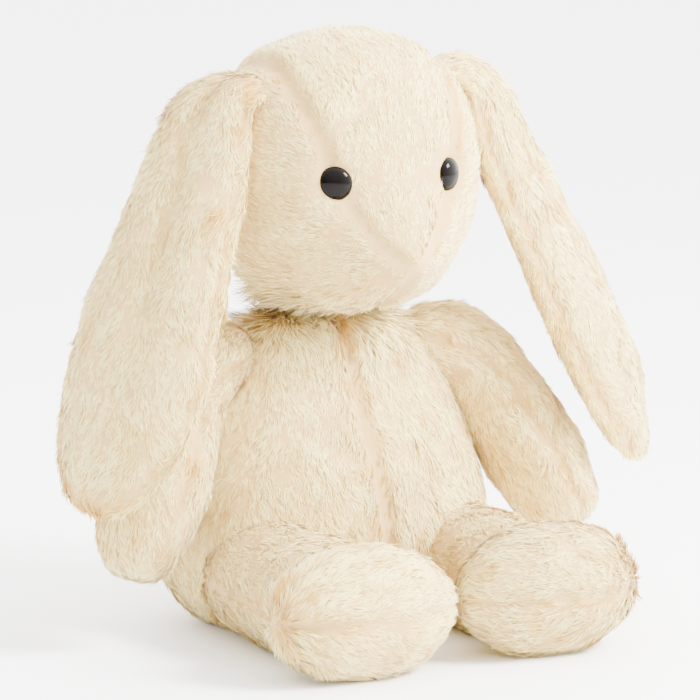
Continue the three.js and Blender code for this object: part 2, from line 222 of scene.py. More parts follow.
def facesOut(points, faces):
    # turns the faces over if the volume that they enclose is negative
    corner = np.array([face[:3] for face in faces])
    a, b, c = (points[corner[:, k]] - points.mean(0) for k in range(3))
    if np.einsum("ij,ij->", a, np.cross(b, c)) < 0:
        return [face[::-1] for face in faces]
    return faces


pileTones = dict(
    root=colour(196, 156, 74), low=colour(228, 200, 114), middle=colour(244, 224, 144),
    tip=colour(251, 239, 180), warm=colour(218, 176, 98),
    roughness=0.85, sheen=0.2, sheenRoughness=0.5, shine=0.25,
)
backingTones = dict(dark=colour(186, 142, 74), light=colour(222, 188, 124), knitShare=0.35)
glossTones = dict(dark=colour(3, 2, 2), light=colour(12, 7, 5), shine=0.1)


def makePile(name, tint):
    # colour follows the tuft's own map: v runs from root to tip, u from warm and dull to pale, and low u
    # carries the seams and the painted shade
    p = pileTones
    finish = Finish(name, Roughness=p["roughness"], Sheen_Weight=p["sheen"],
                    Sheen_Roughness=p["sheenRoughness"], Specular_IOR_Level=p["shine"])
    place = finish.add("ShaderNodeUVMap", {"uv_map": "OFBake"})
    u = finish.add("ShaderNodeSeparateXYZ", None, {0: place}, 0)
    v = Socket(finish, u.link.node.outputs[1])
    stops = [(0.0, p["root"]), (0.25, p["low"]), (0.55, p["middle"]), (1.0, p["tip"])]
    along = finish.add("ShaderNodeValToRGB", {"stops": stops}, {0: v})
    dull = (1 - u) * (1 - u)
    warmed = finish.mixColour(dull, along, p["warm"], "MULTIPLY")
    finish.feed("Base Color", finish.mixColour(1.0, warmed, tint, "MULTIPLY"))
    return finish.material


def makeBacking(name):
    # knitted backing cloth: fine crossed waves for the knit and a slow change of tone
    p = backingTones
    finish = Finish(name, Roughness=0.95, Sheen_Weight=0.2)
    place = finish.add("ShaderNodeTexCoord", output=3)
    waves = {"Vector": place, "Scale": 900.0, "Distortion": 3.0}
    knit = finish.add("ShaderNodeTexWave", None, waves, 1)
    slow = finish.add("ShaderNodeTexNoise", None, {"Vector": place, "Scale": 60.0, "Detail": 4.0})
    tone = knit * p["knitShare"] + slow * (1 - p["knitShare"])
    finish.feed("Base Color", finish.mixColour(tone, p["dark"], p["light"]))
    relief = {"Strength": 0.4, "Distance": 0.0003, "Height": knit}
    finish.feed("Normal", finish.add("ShaderNodeBump", None, relief))
    return finish.material


def makeGloss():
    # glossy near-black plastic with a faint brown haze
    p = glossTones
    finish = Finish("eyeGloss", Roughness=0.06, IOR=1.5, Specular_IOR_Level=p["shine"])
    place = finish.add("ShaderNodeTexCoord", output=3)
    haze = finish.add("ShaderNodeTexNoise", None, {"Vector": place, "Scale": 140.0, "Detail": 3.0})
    finish.feed("Base Color", finish.mixColour(haze, p["dark"], p["light"]))
    finish.feed("Roughness", haze * 0.05 + 0.04)
    return finish.material


def makeInner(name, dark, light, scale):
    # grain of one size between two tones, raised a little, for the pieces inside
    finish = Finish(name, Roughness=0.9)
    place = finish.add("ShaderNodeTexCoord", output=3)
    grain = finish.add("ShaderNodeTexNoise", None, {"Vector": place, "Scale": scale, "Detail": 6.0})
    finish.feed("Base Color", finish.mixColour(grain, dark, light))
    relief = {"Strength": 0.5, "Distance": 0.001, "Height": grain}
    finish.feed("Normal", finish.add("ShaderNodeBump", None, relief))
    return finish.material


pileCream = makePile("pileCream", (1, 1, 1, 1))
pileLining = makePile("pileLining", (1.0, 0.96, 0.8, 1))
backing = makeBacking("backingCloth")
eyeGloss = makeGloss()
fibre = makeInner("fibreFill", colour(225, 225, 220), colour(252, 252, 250), 400.0)
pouch = makeInner("pelletPouch", colour(190, 196, 200), colour(226, 230, 233), 700.0)
moulded = makeInner("mouldedWasher", colour(222, 222, 216), colour(238, 238, 234), 90.0)
threadCotton = makeInner("neckThread", colour(214, 190, 146), colour(236, 216, 178), 1200.0)
print("finishes made")


# pile: combed tufts on a skin, each with rows of points at these steps from root to tip
pileSizes = dict(
    perSquareMm=1.25, length=6.6, width=0.45, lift=0.28, clump=3.8, edgeTone=0.02,
    steps=(0.0, 0.34, 0.7, 1.0), taper=(0.9, 1.0, 0.7, 0.0), sunk=0.5,
)


def skinFrame(skin, angle, t):
    # the skin's point and its two unit directions and outward normal at each place
    step = 1e-3
    point = skin(angle, t)
    around = skin(angle + step, t) - skin(angle - step, t)
    early, late = np.clip(t - step, 0, 1), np.clip(t + step, 0, 1)
    along = skin(angle, late) - skin(angle, early)
    return point, unit(along), unit(np.cross(around, along))


def scatter(skin, count, rng):
    # random places spread evenly over the skin's area, count for each square millimetre
    cells = (160, 110)
    angleEdge = full * np.arange(cells[0] + 1) / cells[0]
    tEdge = (1 - np.cos(np.pi * (0.004 + 0.992 * np.arange(cells[1] + 1) / cells[1]))) / 2
    grid = skin(*np.meshgrid(angleEdge, tEdge))
    sideA, sideB = grid[:-1, 1:] - grid[:-1, :-1], grid[1:, :-1] - grid[:-1, :-1]
    area = np.linalg.norm(np.cross(sideA, sideB), axis=-1)
    total = int(area.sum() * count)
    chosen = rng.choice(area.size, total, p=(area / area.sum()).ravel())
    row, column = np.unravel_index(chosen, area.shape)
    angle = full * (column + rng.random(total)) / cells[0]
    share = rng.random(total)
    t = tEdge[row] * (1 - share) + tEdge[row + 1] * share
    return angle, t


def clumps(point, size, seed):
    # cells of a wavy grid, and four random shares from 0 to 1 that all tufts of a cell have
    wander = np.stack([ripples(point, 11, seed + k) for k in range(3)], -1)
    cell = np.floor((point + 1.6 * wander) / size)
    mixed = (cell @ np.array([127.1, 311.7, 74.7]))[:, None] + np.array([0.0, 1.7, 3.9, 5.3])
    return cell, np.modf(np.abs(np.sin(mixed) * 43758.5453))[0]


def inSkin(vectors, normal):
    # what is left of each vector when its part along the normal is taken off
    return vectors - normal * np.einsum("ij,ij->i", vectors, normal)[:, None]


def growPile(name, skin, comb, shade, panel, body, finish, seed, outward):
    # Each tuft is a ribbon of three steps and a point: it leaves the skin at a slant along the
    # combed direction, leans over, and narrows to its tip. Tufts in one clump share a direction.
    # The pile grows where panel(point, angle, t) is true.
    p = pileSizes
    rng = np.random.default_rng(seed)
    angle, t = scatter(skin, p["perSquareMm"], rng)
    point, along, normal = skinFrame(skin, angle, t)
    normal = normal * outward
    keep = panel(point, angle, t) & (point[:, 2] > 0.5)
    angle, t, point, along, normal = (value[keep] for value in (angle, t, point, along, normal))
    count = len(t)
    cell, clump = clumps(point, p["clump"], seed)
    tone, length, lift = shade(point, angle, t)
    way = unit(inSkin(comb(point, along, angle, t), normal))
    side = np.cross(normal, way)
    waves = ripples(point, 17, seed + 5)
    swirl = (0.35 * ripples(point, 45, seed + 9) + 0.3 * waves + 0.3 * (clump[:, 0] - 0.5) * 2
             + rng.normal(0, 0.13, count))
    lift = lift * (1 + 0.35 * ripples(point, 13, seed + 7))
    way = way * np.cos(swirl)[:, None] + side * np.sin(swirl)[:, None]
    side = np.cross(normal, way)
    centre = (cell + 0.5) * p["clump"]
    far = np.minimum(np.linalg.norm(centre - point, axis=1), 2.5)
    pull = inSkin(unit(centre - point) * far[:, None] * 0.45, normal)  # tips gather in the clump
    length = p["length"] * length * (0.72 + 0.4 * clump[:, 1] + rng.normal(0, 0.09, count))
    rise = p["lift"] * lift * (0.65 + 0.7 * clump[:, 2] + rng.normal(0, 0.15, count))
    curl = rng.normal(0, 0.16, count) + 0.25 * (clump[:, 3] - 0.5)
    half = p["width"] / 2 * np.array(p["taper"])
    roll = rng.normal(0, 0.3, count)
    flat = side * np.cos(roll)[:, None] + normal * np.sin(roll)[:, None]
    spine = []
    for step in p["steps"]:
        arc = length * step
        height = arc * rise * (1 - 0.42 * step) - p["sunk"]
        spine.append(point + way * arc[:, None] + normal * height[:, None]
                     + side * (curl * arc * step)[:, None] + pull * step)
    vertices = np.empty((count, 7, 3))
    for k in range(3):
        vertices[:, 2 * k] = spine[k] - flat * half[k]
        vertices[:, 2 * k + 1] = spine[k] + flat * half[k]
    vertices[:, 6] = spine[3]
    lowest = floorGap["pile"] + 0.2 * rng.random((count, 1))
    vertices[..., 2] = np.maximum(vertices[..., 2], lowest)
    base = (7 * np.arange(count))[:, None]
    quads = (base + np.array([1, 0, 2, 3, 3, 2, 4, 5])).reshape(-1, 4)
    tips = base + np.array([5, 4, 6])
    shadeNormal = unit(normal[:, None, :] + 0.13 * rng.normal(size=(count, 1, 3))
                       + 0.2 * way[:, None, :])
    # painted shade in the partings between clumps of tufts
    partingShade = bump(ripples(point, 26, seed + 13), 0.1) * (ripples(point, 38, seed + 15) > 0)
    tone = tone - 0.34 * partingShade
    tone = np.clip(tone + 0.18 * (clump[:, 0] - 0.5) + rng.normal(0, 0.06, count), 0.03, 0.97)
    rows = np.repeat(p["steps"], 2)[:7] * 0.96 + 0.02
    mapU = tone[:, None] + p["edgeTone"] * np.array([-1, 1, -1, 1, -1, 1, 0])
    return ribbonMesh(name, vertices, quads, tips, shadeNormal, mapU, rows, body, finish)


def ribbonMesh(name, vertices, quads, tips, normals, mapU, rows, body, finish):
    # writes all ribbons as one mesh with foreach_set, with the skin's normals and the tone map
    count = len(vertices)
    mesh = bpy.data.meshes.new(name)
    mesh.vertices.add(count * 7)
    mesh.vertices.foreach_set("co", (vertices * metre).astype(np.float32).ravel())
    loops = np.concatenate([quads.ravel(), tips.ravel()])
    mesh.loops.add(len(loops))
    mesh.loops.foreach_set("vertex_index", loops.astype(np.int32))
    firstTip = 4 * len(quads)
    starts = np.concatenate([4 * np.arange(len(quads)), firstTip + 3 * np.arange(len(tips))])
    mesh.polygons.add(len(starts))
    mesh.polygons.foreach_set("loop_start", starts.astype(np.int32))
    mesh.polygons.foreach_set("use_smooth", np.ones(len(starts), bool))
    mesh.update(calc_edges=True)
    layer = mesh.uv_layers.new(name="OFBake")
    both = np.stack([mapU, np.broadcast_to(rows, mapU.shape)], -1).reshape(-1, 2)
    layer.uv.foreach_set("vector", both[loops].astype(np.float32).ravel())
    spread = np.broadcast_to(normals, (count, 7, 3)).reshape(-1, 3)
    mesh.normals_split_custom_set_from_vertices(spread.astype(np.float32))
    mesh.materials.append(finish)
    piece = bpy.data.objects.new(name, mesh)
    bpy.context.scene.collection.objects.link(piece)
    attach(piece, body)
    return piece


def clothSkin(name, skin, around, along, nodes, body, fill):
    # the backing cloth of one form, standing for its CAD panels
    points, faces = closedGrid(skin, around, along)
    points[:, 2] = np.maximum(points[:, 2], floorGap["cloth"])
    piece = meshPiece(name, points, facesOut(points, faces), backing)
    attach(piece, body)
    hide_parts(*nodes)
    return piece


def turned(skin):
    # 1 where angle x t already faces out, -1 where it faces in
    angle, t = np.meshgrid(full * np.arange(24) / 24, np.linspace(0.1, 0.9, 12))
    point, _, normal = skinFrame(skin, angle, t)
    return 1 if np.einsum("ijk,ijk->", point - point.mean((0, 1)), normal) > 0 else -1


tuftTotal = 0


def coverForm(name, skin, comb, shade, panels, body, nodes, seed, grid, fill=0.8):
    # one sewn form: its cloth, then the pile of each panel
    global tuftTotal
    clothSkin(name + "_cloth", skin, *grid, nodes, body, fill)
    outward = turned(skin)
    for k, (panelName, inside, finish) in enumerate(panels):
        pile = growPile(panelName + "_pile", skin, comb, shade, inside, body, finish, seed + 20 * k,
                        outward)
        tuftTotal += len(pile.data.vertices) // 7
    print(name, "covered, tufts so far", tuftTotal)


def limbSkin(path, across, widths, depths, power, bends=(0, 0)):
    # oval sections along a smooth path, their edges bent to one side; gives skin and middle line
    def spine(t):
        centre = track(path, t)
        ahead = unit(track(path, np.clip(t + 0.01, 0, 1)) - track(path, np.clip(t - 0.01, 0, 1)))
        wide = unit(across - ahead * (ahead @ across)[..., None])
        return centre, ahead, wide, np.cross(ahead, wide)

    def skin(angle, t):
        centre, ahead, wide, through = spine(t)
        size = endRound(t, power)
        x = track(widths, t)[..., 0] / 2 * size * np.cos(angle)
        y = track(depths, t)[..., 0] / 2 * size * np.sin(angle)
        y = y + track(bends, t)[..., 0] * size * np.cos(angle) ** 2
        return centre + wide * x[..., None] + through * y[..., None]

    return skin, spine


def leaning(spine, angle, t):
    # the direction straight out of a limb's middle line
    _, _, wide, through = spine(t)
    return wide * np.cos(angle)[..., None] + through * np.sin(angle)[..., None]


# front, back and half are shares of the depth and width, from the seat up to the neck
torso = dict(
    height=146, width=170, depth=128, sink=9, power=3, sideSeam=-2,
    front=[0.41, 0.515, 0.45, 0.3, 0.24], back=[0.45, 0.485, 0.44, 0.36, 0.3],
    half=[0.48, 0.5, 0.46, 0.4, 0.36], seamDepth=3.6, sideSeamDepth=2.0, seamReach=3.2,
    crease=((-66, -30, 122), (-12, -56, 86)), creaseDepth=5, creaseReach=5,
    sag=1.3, sagWave=60, ruff=16,
)


def torsoSkin(angle, t):
    # a pear: half-width and depth follow t, with a groove along the front seam and a chest crease
    p = torso
    size = endRound(t, p["power"])
    front, back = track(p["front"], t)[..., 0], track(p["back"], t)[..., 0]
    depth = np.where(np.sin(angle) < 0, front, back) * p["depth"] * size
    width = track(p["half"], t)[..., 0] * p["width"] * size
    low = -p["sink"]
    point = np.stack([width * np.cos(angle), depth * np.sin(angle),
                      low + (p["height"] - low) * t + 0 * angle], -1)
    inward = unit(point * np.array([1, 1, 0.2]) - np.array([0, 0, 0.2 * 60]))
    isFront = point[..., 1] < 0
    dent = p["seamDepth"] * bump(point[..., 0], p["seamReach"])
    dent += p["sideSeamDepth"] * bump(point[..., 1] - p["sideSeam"], p["seamReach"])
    dent += p["creaseDepth"] * bump(segmentDistance(point, *p["crease"]), p["creaseReach"]) * isFront
    dent -= p["sag"] * ripples(point, p["sagWave"], 3)
    return point - inward * (settle(dent) * np.clip(size * 1.5, 0, 1))[..., None]


def torsoComb(point, along, angle, t):
    # down, leaning away from the front seam
    lean = 0.5 * np.sign(point[:, 0]) * bump(point[:, 0], 8) * (point[:, 1] < 0)
    return np.stack([0.9 * lean + 0.003 * point[:, 0], -0.15 + 0 * t, -1 + 0 * t], -1)


def torsoShade(point, angle, t):
    # duller and shorter at the seams, painted shade along the chest crease, longer and fuller round the
    # neck
    seam = bump(point[:, 0], 3.5) + 0.8 * bump(point[:, 1] - torso["sideSeam"], 3)
    crease = bump(segmentDistance(point, *torso["crease"]), 6)
    # the crease term darkens the tone: painted shade where the chest overhangs the belly
    tone = 0.64 - 0.6 * seam - 0.35 * crease + 0.25 * ripples(point, 26, 31)
    neck = bump(point[:, 2] - torso["height"], torso["ruff"])
    behind = np.clip((point[:, 1] + 30) / 30, 0, 1)
    length = 1 - 0.35 * seam + neck * (0.5 + 0.6 * behind)
    return tone, length, 1 + 0.25 * ripples(point, 22, 32) + neck * (1.2 + 2 * behind)


def isFrontSide(point):
    return point[:, 1] < torso["sideSeam"]


coverForm(
    "torso", torsoSkin, torsoComb, torsoShade,
    [
        ("torso_front_right", lambda q, a, t: isFrontSide(q) & (q[:, 0] < 0), pileCream),
        ("torso_front_left", lambda q, a, t: isFrontSide(q) & (q[:, 0] >= 0), pileCream),
        ("torso_back_right", lambda q, a, t: ~isFrontSide(q) & (q[:, 0] < 0), pileCream),
        ("torso_back_left", lambda q, a, t: ~isFrontSide(q) & (q[:, 0] >= 0), pileCream),
    ],
    "torso",
    ["torso_front_right", "torso_front_left", "torso_back_right", "torso_back_left", "seat_base"],
    seed=100, grid=(120, 80),
)


# gussetX is the centre panel's half-width at each height in gussetZ
head = dict(
    half=np.array([64.0, 51.0, 63.0]), centre=np.array([0.0, -19.0, 213.0]), power=2.35,
    muzzleReach=21, muzzleDrop=5, muzzleSpread=33, noseReach=3.5, noseSpread=11, noseZ=172,
    noseTip=np.array([0, -84.0, 176.0]), combFrom=np.array([0, -80.0, 176.0]),
    noseMiddle=np.array([0, -80.0, 172.0]), chinZ=150,
    gussetZ=[168, 172, 184, 197, 213, 234, 254, 300], gussetX=[-4, 0, 14, 23, 30.5, 36, 42, 44],
    seamDepth=3.0, seamReach=2.8, eyeHollow=2.6, eyeHollowReach=10, eyeClear=8.4,
    sag=0.9, sagWave=50,
)
eyePlaces = {side: middle("eye_" + side) for side in ("right", "left")}


def gussetGap(point):
    # sideways distance from the nearer gusset seam, less than 0 inside the centre panel
    edge = np.interp(point[..., 2], head["gussetZ"], head["gussetX"])
    return np.abs(point[..., 0]) - edge


def seamGaps(point):
    # distance from the nearest seam: the gusset's above the nose tip, the chin's below it
    above = point[..., 2] > head["noseZ"]
    gusset = np.where(above, np.abs(gussetGap(point)) * 0.8, 99)
    chin = np.where(above, 99, np.abs(point[..., 0]))
    return np.minimum(gusset, chin)


def headSkin(angle, t):
    # a rounded block; the muzzle is pushed forward and each eye sits in a shallow hollow
    p = head
    tilt = np.pi * t
    way = np.stack([np.sin(tilt) * np.cos(angle), np.sin(tilt) * np.sin(angle),
                    -np.cos(tilt) + 0 * angle], -1)
    size = (np.abs(way) ** p["power"]).sum(-1) ** (-1 / p["power"])
    point = way * size[..., None] * p["half"] + p["centre"]
    nose = p["centre"] + np.array([0, -p["half"][1] * 0.9, -p["half"][2] * 0.62])
    push = p["muzzleReach"] * bump(np.linalg.norm(point - nose, axis=-1), p["muzzleSpread"])
    point = point - push[..., None] * np.array([0, 1, p["muzzleDrop"] / p["muzzleReach"]])
    tip = bump(np.linalg.norm(point - p["noseTip"], axis=-1), p["noseSpread"])
    point = point - np.array([0, p["noseReach"], 0]) * tip[..., None]
    inward = unit(point - p["centre"])
    dent = p["seamDepth"] * bump(seamGaps(point), p["seamReach"])
    for place in eyePlaces.values():
        near = np.linalg.norm(point - place, axis=-1)
        dent = dent + p["eyeHollow"] * bump(near, p["eyeHollowReach"])
    dent = dent - p["sag"] * ripples(point, p["sagWave"], 5)
    return point - inward * settle(dent)[..., None]


def headComb(point, along, angle, t):
    # away from the nose: up the forehead, back over the cheeks and down the chin
    away = unit(point - head["combFrom"])
    seam = bump(seamGaps(point), 7)
    turn = np.where(gussetGap(point) > 0, 1, -1) * np.sign(point[:, 0])
    back = np.clip((point[:, 1] + 30) / 60, 0, 1)[:, None]
    field = away * (1 - back) + np.array([0, 0.2, -1.0]) * back
    field[:, 0] += 0.6 * seam * turn
    return field


def headShade(point, angle, t):
    # dull at the seams, short round the eyes and nose, with painted shade in the hollows round the eyes,
    # long under the chin and behind it
    seam = bump(seamGaps(point), 3.0)
    tone = 0.68 - 0.68 * seam + 0.2 * ripples(point, 22, 41)
    length = 0.8 - 0.25 * seam
    for place in eyePlaces.values():
        near = np.linalg.norm(point - place, axis=1)
        length = length * (1 - 0.45 * bump(near, 13))
        # painted shade in the hollow round each eye
        tone = tone - 0.25 * bump(near, 11)
    nose = bump(np.linalg.norm(point - head["noseMiddle"], axis=1), 16)
    under = bump(point[:, 2] - head["chinZ"], 14)
    behind = np.clip((point[:, 1] + 45) / 30, 0, 1)
    length = length * (1 - 0.4 * nose) * (1 + under * (0.3 + 1.7 * behind))
    lift = 1 + 0.2 * ripples(point, 20, 42) - 0.3 * nose + under * (0.5 + 3.0 * behind)
    return tone, length, lift


def clearOfEyes(point):
    gaps = [np.linalg.norm(point - place, axis=1) for place in eyePlaces.values()]
    return np.min(gaps, axis=0) > head["eyeClear"]


def inGusset(point):
    return (gussetGap(point) < 0) & (point[:, 2] > head["noseZ"])


coverForm(
    "head", headSkin, headComb, headShade,
    [
        ("head_gusset", lambda q, a, t: inGusset(q) & clearOfEyes(q), pileCream),
        ("head_cheek_right", lambda q, a, t: ~inGusset(q) & (q[:, 0] < 0) & clearOfEyes(q), pileCream),
        ("head_cheek_left", lambda q, a, t: ~inGusset(q) & (q[:, 0] >= 0) & clearOfEyes(q), pileCream),
    ],
    "head", ["head_gusset", "head_cheek_right", "head_cheek_left"], seed=300, grid=(128, 96),
)


eye = dict(radius=8.0, baseShare=0.96, sunk=1.2, dome=5.4, rim=0.8, rings=14, around=48)


def makeEye(side):
    # a turned dome with a thin rim, on the axis that points out of the head
    p = eye
    place = eyePlaces[side]
    out = unit(place - head["centre"] - np.array([0, 0, 2.0]))
    turn = np.linspace(0, np.pi / 2, p["rings"])
    radius = np.concatenate([[0.0, p["radius"] * p["baseShare"]], p["radius"] * np.cos(turn)])
    height = np.concatenate([[-p["sunk"]] * 2, p["rim"] + (p["dome"] - p["rim"]) * np.sin(turn)])
    flat = unit(np.cross(out, np.array([0, 0, 1.0])))
    tall = np.cross(flat, out)
    angle = full * np.arange(p["around"]) / p["around"]
    spoke = np.cos(angle)[:, None] * flat + np.sin(angle)[:, None] * tall
    base = place - out * p["dome"] / 2
    rings = base + radius[1:-1, None, None] * spoke + (height[1:-1, None] * out)[:, None, :]
    points = np.vstack([base + out * height[0], rings.reshape(-1, 3), base + out * height[-1]])
    count, around = len(radius) - 2, p["around"]
    ring, step = np.meshgrid(np.arange(count - 1), np.arange(around), indexing="ij")
    after = (step + 1) % around
    quads = 1 + np.stack([ring * around + step, ring * around + after,
                          (ring + 1) * around + after, (ring + 1) * around + step], -1)
    spokes = np.arange(around)
    after = (spokes + 1) % around
    low = np.stack([0 * spokes, 1 + after, 1 + spokes], -1)
    high = np.stack([0 * spokes + len(points) - 1, 1 + (count - 1) * around + spokes,
                     1 + (count - 1) * around + after], -1)
    faces = quads.reshape(-1, 4).tolist() + low.tolist() + high.tolist()
    piece = meshPiece("eye_" + side + "_dome", points, facesOut(points, faces), eyeGloss)
    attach(piece, "head")
    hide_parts("eye_" + side)


for side in eyePlaces:
    makeEye(side)
print("eyes made")


# hang is the middle line from root to tip in shares of the length, out, back and up
ear = dict(
    length=212, width=72, thickness=26, spacing=86, rootY=-22, rootZ=260.25, power=2.8,
    twist=dict(right=58, left=42), splay=dict(right=0, left=0.042),
    hang=[[-0.05, 0, -0.03], [0.11, -0.01, -0.06], [0.2, -0.03, -0.25],
          [0.3, -0.06, -0.47], [0.39, -0.09, -0.69], [0.465, -0.11, -0.9]],
    widths=[0.55, 0.64, 0.8, 0.96, 1.06, 0.98], depths=[0.6, 0.8, 0.9, 1, 1, 0.8],
    bends=[0, 0.05, 0.08, 0.14, 0.18, 0.15], groove=4.0, seamShift=4.0,
)


def makeEar(side, sign):
    p = ear
    root = np.array([sign * p["spacing"] / 2, p["rootY"], p["rootZ"]])
    hang = np.array(p["hang"])
    hang[:, 0] = sign * (hang[:, 0] - p["splay"][side] * hang[:, 2])
    path = hang * p["length"] + root
    turn = math.radians(p["twist"][side])
    across = np.array([-math.cos(turn), -sign * math.sin(turn), 0])
    plain, spine = limbSkin(path, across, np.array(p["widths"]) * p["width"],
                            np.array(p["depths"]) * p["thickness"], p["power"],
                            np.array(p["bends"]) * p["thickness"])

    def seamGap(angle, t):
        # how far each place lies past the edge seam, towards the side that faces the body
        half = track(np.array(p["depths"]) * p["thickness"] / 2, t)[..., 0] * endRound(t, p["power"])
        return half * np.sin(angle) + p["seamShift"] * np.minimum(1, endRound(t, 3) * 2)

    def skin(angle, t):
        # a flat pad with a long groove down its outer face, wavy along its edges
        point = plain(angle, t)
        outer = np.clip(-np.sin(angle), 0, 1)
        inner = np.clip(np.sin(angle), 0, 1)
        middleLine = bump(np.cos(angle) - 0.12 * np.sin(7 * t), 0.26)
        dent = p["groove"] * outer * middleLine * bump(t - 0.42, 0.3)
        dent = dent + 1.5 * inner * bump(np.cos(angle), 0.6) * endRound(t, 3)
        dent = dent + 1.6 * bump(seamGap(angle, t), 2.2)
        wave = 0.8 * ripples(point, 42, 7 + sign)
        lean = unit(leaning(spine, angle, t))
        return point - lean * (settle(dent - wave) * endRound(t, 4))[..., None]

    def comb(point, along, angle, t):
        # down the ear, fanning out to its edges
        return along + 0.25 * np.cos(angle)[:, None] * spine(t)[2]

    def shade(point, angle, t):
        # dull along the edge seam, with painted shade down the groove
        edge = bump(seamGap(angle, t), 2.0)
        outer = np.clip(-np.sin(angle), 0, 1)
        # the groove term is painted shade down the long groove of the outer face
        groove = outer * bump(np.cos(angle) - 0.12 * np.sin(7 * t), 0.14) * bump(t - 0.42, 0.3)
        tone = 0.68 - 0.5 * edge - 0.5 * groove + 0.24 * ripples(point, 24, 51)
        return tone, 1 - 0.15 * edge, 1 + 0.25 * ripples(point, 22, 52)

    coverForm(
        "ear_" + side, skin, comb, shade,
        [
            (f"ear_{side}_outer", lambda q, a, t: seamGap(a, t) < 0, pileCream),
            (f"ear_{side}_lining", lambda q, a, t: seamGap(a, t) >= 0, pileLining),
        ],
        "ear_" + side, [f"ear_{side}_outer", f"ear_{side}_lining"], seed=500 + 100 * (sign > 0),
        grid=(96, 90), fill=0.5,
    )


arm = dict(
    reach=118, thickness=47, spacing=88, shoulderY=-5, shoulderZ=126, power=3,
    hang=[[-0.02, 0, 0.05], [0.25, -0.03, -0.07], [0.44, -0.14, -0.39], [0.63, -0.25, -0.76]],
    widths=[0.85, 0.94, 1, 1.12, 1.12], depths=[0.8, 0.88, 0.92, 1.02, 1.06],
)


def makeArm(side, sign):
    p = arm
    root = np.array([sign * p["spacing"] / 2, p["shoulderY"], p["shoulderZ"]])
    path = np.array(p["hang"]) * np.array([sign, 1, 1]) * p["reach"] + root
    plain, spine = limbSkin(path, np.array([0, -sign, 0.0]), np.array(p["widths"]) * p["thickness"],
                            np.array(p["depths"]) * p["thickness"], p["power"])

    def skin(angle, t):
        # a stuffed tube with a shallow seam along its front and back edges
        point = plain(angle, t)
        dent = 2.0 * bump(np.sin(angle), 0.16) - 0.7 * ripples(point, 40, 11 + sign)
        return point - leaning(spine, angle, t) * (settle(dent) * endRound(t, 4))[..., None]

    def comb(point, along, angle, t):
        # towards the paw and a little down
        return along + np.array([0, 0, -0.25])

    def shade(point, angle, t):
        seam = bump(np.sin(angle), 0.14)
        tone = 0.64 - 0.5 * seam + 0.24 * ripples(point, 24, 61)
        return tone, 1 - 0.3 * seam, 1 + 0.25 * ripples(point, 20, 62)

    coverForm(
        "arm_" + side, skin, comb, shade,
        [
            (f"arm_{side}_outer", lambda q, a, t: np.sin(a) < 0, pileCream),
            (f"arm_{side}_inner", lambda q, a, t: np.sin(a) >= 0, pileCream),
        ],
        "arm_" + side, [f"arm_{side}_outer", f"arm_{side}_inner"], seed=700 + 100 * (sign > 0),
        grid=(72, 60),
    )


leg = dict(
    thickness=57, spacing=98, path=[-12, -45, -78, -120], power=4, sideZ=29,
    widths=[1, 1.06, 1.04, 0.98, 0.92], depths=[1, 1, 1, 1, 0.96],
)


def makeLeg(side, sign):
    p = leg
    path = np.array([[sign * p["spacing"] / 2, y, p["thickness"] / 2 - 1] for y in p["path"]])
    plain, spine = limbSkin(path, np.array([1.0, 0, 0]), np.array(p["widths"]) * p["thickness"],
                            np.array(p["depths"]) * p["thickness"], p["power"])

    def skin(angle, t):
        # a stuffed tube along the floor with a shallow seam down each side
        point = plain(angle, t)
        dent = 1.6 * bump(np.sin(angle), 0.14) - 0.9 * ripples(point, 38, 13 + sign)
        return point - leaning(spine, angle, t) * (settle(dent) * endRound(t, 4))[..., None]

    def comb(point, along, angle, t):
        # towards the foot and a little down
        return along + np.array([0, 0, -0.2])

    def shade(point, angle, t):
        seam = bump(np.sin(angle), 0.12)
        tone = 0.6 - 0.45 * seam + 0.24 * ripples(point, 24, 71)
        return tone, 1 - 0.3 * seam, 1 + 0.25 * ripples(point, 20, 72)

    coverForm(
        "leg_" + side, skin, comb, shade,
        [
            (f"leg_{side}_upper", lambda q, a, t: q[:, 2] > p["sideZ"], pileCream),
            (f"leg_{side}_lower", lambda q, a, t: q[:, 2] <= p["sideZ"], pileCream),
        ],
        "leg_" + side, [f"leg_{side}_upper", f"leg_{side}_lower"], seed=900 + 100 * (sign > 0),
        grid=(72, 48),
    )


foot = dict(
    width=91, height=59, depth=54, spacing=96, y=-121.75, power=2.3,
    shares=[0.8, 0.98, 1.03, 1, 0.82], pleats=9, pleatDepth=2.2, pleatsFrom=0.72,
)


